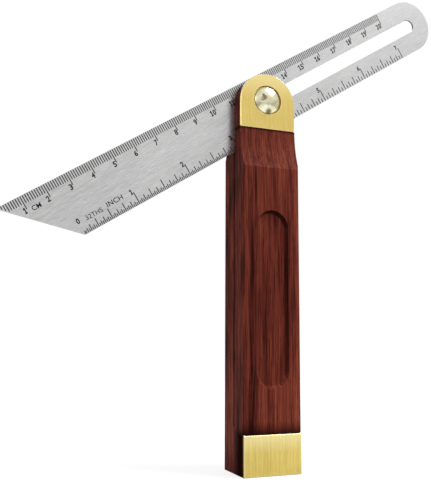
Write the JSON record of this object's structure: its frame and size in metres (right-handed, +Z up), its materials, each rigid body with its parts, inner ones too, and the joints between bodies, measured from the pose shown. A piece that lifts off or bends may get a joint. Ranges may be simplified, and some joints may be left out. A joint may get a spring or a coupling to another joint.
{
  "type": "sliding bevel gauge",
  "caption": "Hand tool for marking angles: a graduated steel blade that turns and slides on a clamping bolt in the kerf of a hardwood stock with brass plates.",
  "frame": {"origin": "centre of the butt's end face, on which the gauge stands", "axes": "+Z up the stock towards the pivot, +X across the stock's width, +Y from the face with the bolt head to the face with the wing nut"},
  "size_m": [0.2001, 0.0308, 0.2169],
  "materials": {
    "wood": "satin oiled rosewood, vertical grain",
    "brass": "brushed",
    "polished_brass": "polished",
    "blade_steel": "satin, brushed lengthwise",
    "mark_ink": "black filled graduations on the blade"
  },
  "bodies": {
    "stock": {"stock": "wood", "head_plate_front": "brass", "head_plate_rear": "brass", "butt_plate": "brass"},
    "bolt": {"pivot_bolt": "polished_brass"},
    "blade": {"blade": "blade_steel"},
    "washer": {"nut_washer": "polished_brass"},
    "nut": {"wing_nut": "polished_brass"}
  },
  "joints": [
    {"name": "blade_turn", "type": "hinge", "parent": "stock", "child": "bolt", "pos_m": [0, 0, 0.1552], "axis": [0, 1, 0], "continuous": true},
    {"name": "blade_slide", "type": "slide", "parent": "bolt", "child": "blade", "axis": [0.8471, 0, 0.5314], "range_m": [-0.0915, 0.0033]},
    {"name": "nut_travel", "type": "slide", "parent": "bolt", "child": "washer", "axis": [0, 1, 0], "range_m": [0, 0.00125]},
    {"name": "nut_turn", "type": "hinge", "parent": "washer", "child": "nut", "pos_m": [0, 0, 0.1552], "axis": [0, 1, 0], "range_deg": [0, 450]}
  ],
  "couplings": [
    {"joint": "nut_travel", "follows": "nut_turn", "m_per_rad": 0.00015915}
  ]
}
